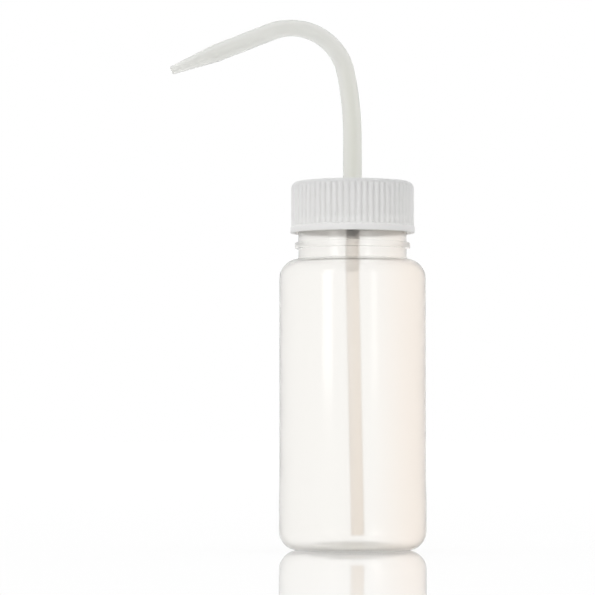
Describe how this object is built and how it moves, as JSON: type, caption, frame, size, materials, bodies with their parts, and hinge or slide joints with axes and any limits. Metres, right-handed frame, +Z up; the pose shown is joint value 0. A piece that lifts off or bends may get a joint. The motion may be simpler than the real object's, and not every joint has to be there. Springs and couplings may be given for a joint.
{
  "type": "wash bottle",
  "caption": "Wide-mouth squeeze bottle with a fluted screw cap, a swivelling bent spout with a tapered tip, and a dip tube.",
  "frame": {"origin": "centre of the flat ring that the bottle stands on", "axes": "+Z up along the bottle's axis; the spout points to -X"},
  "size_m": [0.1279, 0.0734, 0.2649],
  "materials": {
    "bottle": "natural polyethylene, see-through and slightly cloudy",
    "cap": "white polypropylene, satin",
    "insert": "natural polyethylene, cloudy",
    "spout": "natural polyethylene, cloudy, with a soft gloss",
    "tube": "natural polyethylene tube, cloudy"
  },
  "bodies": {
    "bottle": {"bottle": "bottle"},
    "insert": {"seal_insert": "insert"},
    "cap": {"screw_cap": "cap"},
    "spout": {"spout": "spout", "dip_tube": "tube"}
  },
  "joints": [
    {"name": "closure_lift", "type": "slide", "parent": "bottle", "child": "insert", "axis": [0, 0, 1], "range_m": [0, 0.0076]},
    {"name": "cap_turn", "type": "hinge", "parent": "insert", "child": "cap", "pos_m": [0, 0, 0.17], "axis": [0, 0, 1], "range_deg": [0, 540]},
    {"name": "spout_swivel", "type": "hinge", "parent": "insert", "child": "spout", "pos_m": [0, 0, 0.17], "axis": [0, 0, 1], "continuous": true}
  ],
  "couplings": [
    {"joint": "closure_lift", "follows": "cap_turn", "m_per_rad": 0.00079577}
  ]
}
